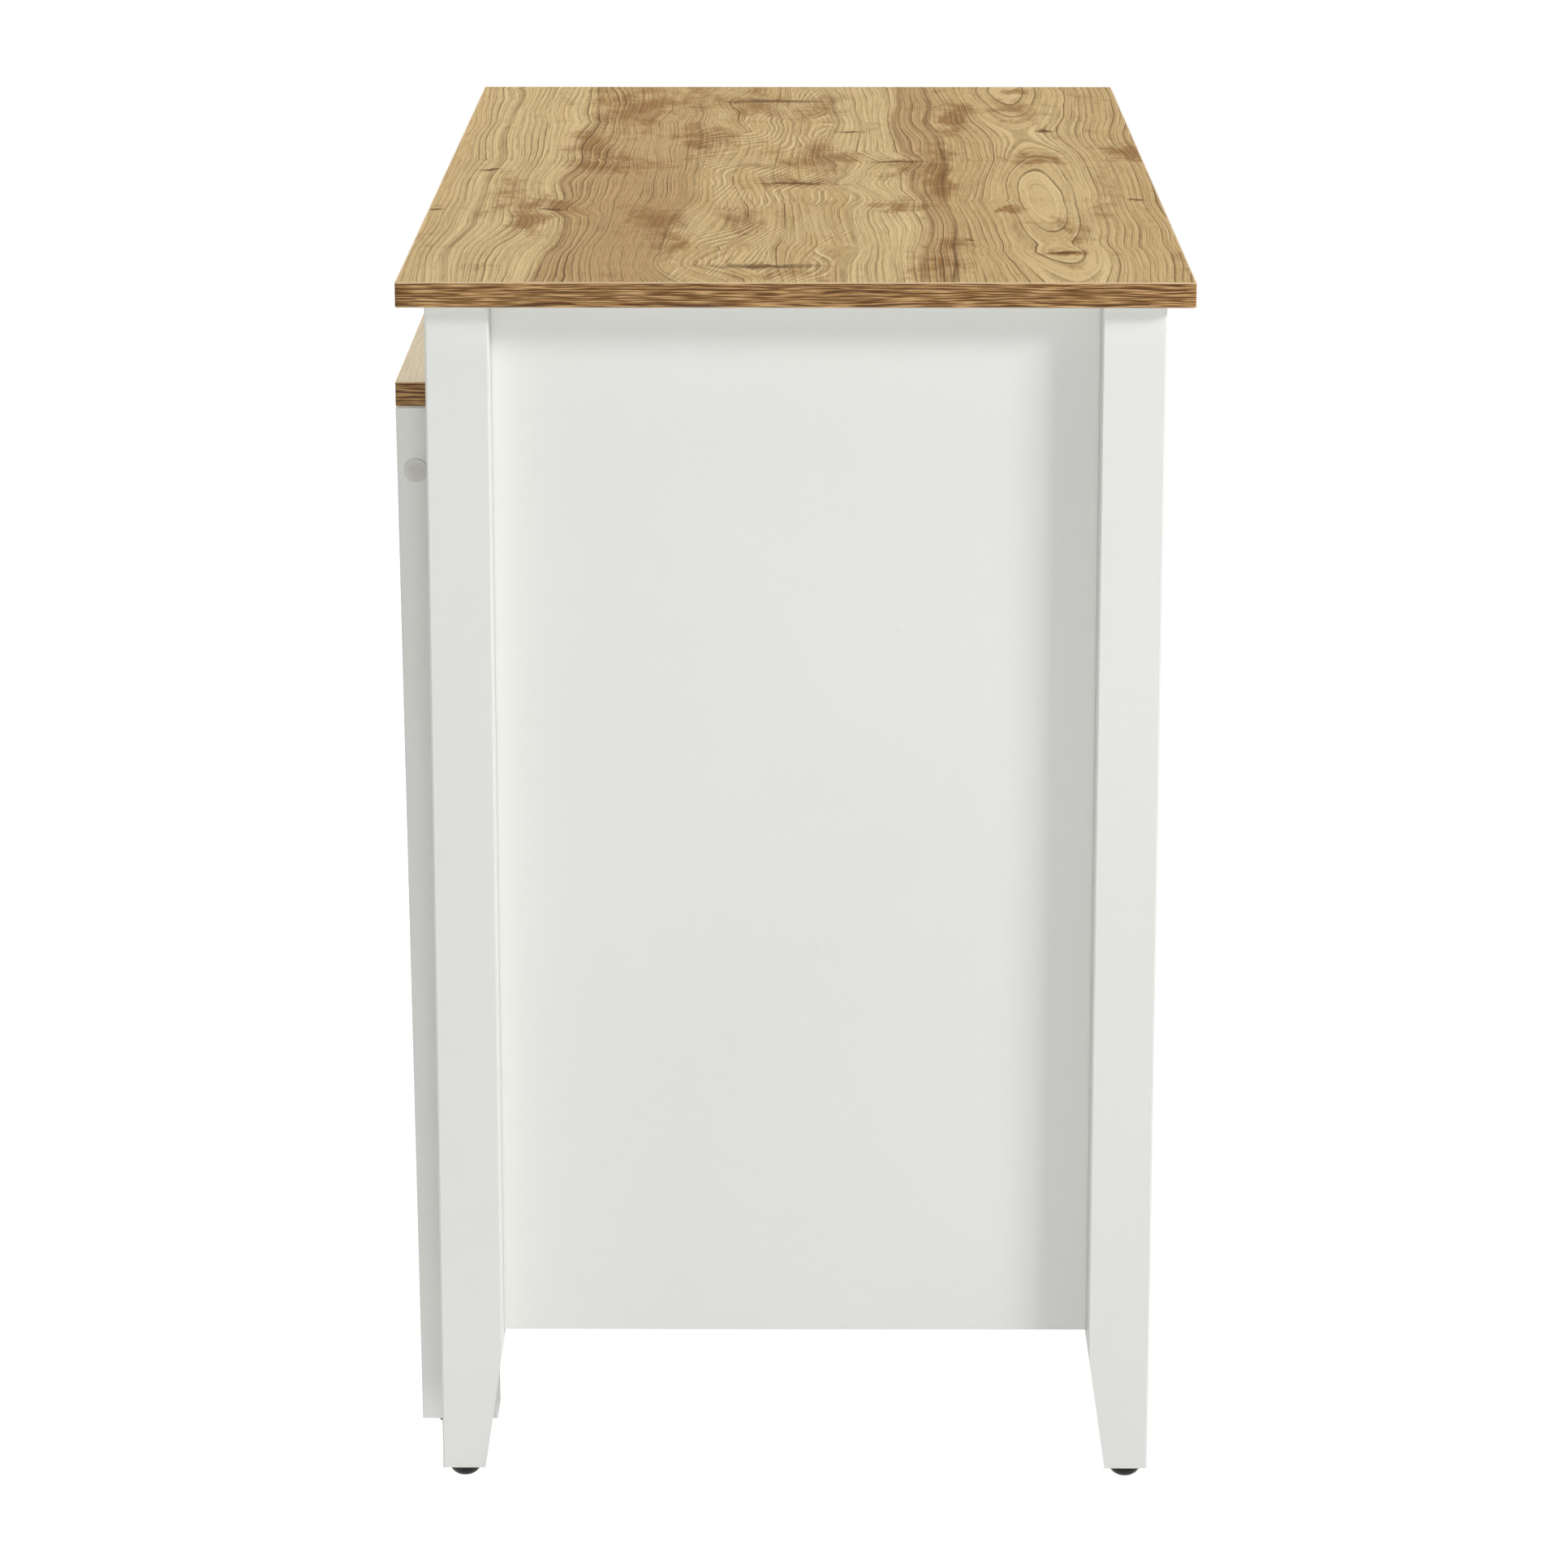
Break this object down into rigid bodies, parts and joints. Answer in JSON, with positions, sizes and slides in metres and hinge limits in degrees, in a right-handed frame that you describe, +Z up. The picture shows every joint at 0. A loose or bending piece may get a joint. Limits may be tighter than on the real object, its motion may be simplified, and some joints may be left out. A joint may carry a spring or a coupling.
{
  "type": "kitchen island",
  "caption": "Kitchen island with a wood-effect worktop on tapered legs, shelves open to the back, and a lower table that slides out from under the worktop's front.",
  "frame": {"origin": "on the floor, in the middle of the part's box", "axes": "+Z up; X along the island, right is +X; Y from the front to the back; the table slides out towards -Y and the shelves open towards +Y"},
  "size_m": [1.1, 0.57, 0.9],
  "materials": {
    "oak_laminate": "satin rustic oak laminate",
    "oak_edge_band": "satin darker oak band",
    "white_lacquer": "satin white lacquer",
    "pine_batten": "planed",
    "beech": "plain",
    "black_plastic": "satin",
    "cap_plastic": "satin",
    "zinc_steel": "zinc plated"
  },
  "bodies": {
    "island": {"back_fascia": "white_lacquer", "cabinet_floor": "white_lacquer", "cabinet_top": "white_lacquer", "closing_panel": "white_lacquer", "end_panel_left": "white_lacquer", "end_panel_right": "white_lacquer", "frame_dowels": "beech", "front_rail": "white_lacquer", "leg_back_left": "white_lacquer", "leg_back_right": "white_lacquer", "leg_front_left": "white_lacquer", "leg_front_right": "white_lacquer", "leg_glides": "black_plastic", "partition": "white_lacquer", "shelf_left": "white_lacquer", "shelf_pins": "zinc_steel", "shelf_right": "white_lacquer", "slide_batten_left": "pine_batten", "slide_batten_right": "pine_batten", "slide_outer_left": "zinc_steel", "slide_outer_right": "zinc_steel", "slide_outer_screws": "zinc_steel", "worktop": "oak_laminate", "worktop_bracket_screws": "zinc_steel", "worktop_brackets": "zinc_steel", "worktop_edge_bands": "oak_edge_band"},
    "table": {"slide_inner_left": "zinc_steel", "slide_inner_right": "zinc_steel", "slide_inner_screws": "zinc_steel", "table_apron": "white_lacquer", "table_barrel_nuts": "zinc_steel", "table_bolt_caps": "cap_plastic", "table_bolts": "zinc_steel", "table_bracket_screws": "zinc_steel", "table_brackets": "zinc_steel", "table_dowels": "beech", "table_glides": "black_plastic", "table_leg_left": "white_lacquer", "table_leg_right": "white_lacquer", "table_rear_rail": "white_lacquer", "table_side_rail_left": "white_lacquer", "table_side_rail_right": "white_lacquer", "table_top": "oak_laminate", "table_top_edge_bands": "oak_edge_band"},
    "slide_middle_left": {"slide_middle_left": "zinc_steel"},
    "slide_middle_right": {"slide_middle_right": "zinc_steel"}
  },
  "joints": [
    {"name": "table_slide", "type": "slide", "parent": "island", "child": "table", "axis": [0, -1, 0], "range_m": [0, 0.4]},
    {"name": "slide_middle_left_slide", "type": "slide", "parent": "island", "child": "slide_middle_left", "axis": [0, -1, 0], "range_m": [0, 0.2]},
    {"name": "slide_middle_right_slide", "type": "slide", "parent": "island", "child": "slide_middle_right", "axis": [0, -1, 0], "range_m": [0, 0.2]}
  ],
  "couplings": [
    {"joint": "slide_middle_left_slide", "follows": "table_slide", "ratio": 0.5},
    {"joint": "slide_middle_right_slide", "follows": "table_slide", "ratio": 0.5}
  ]
}
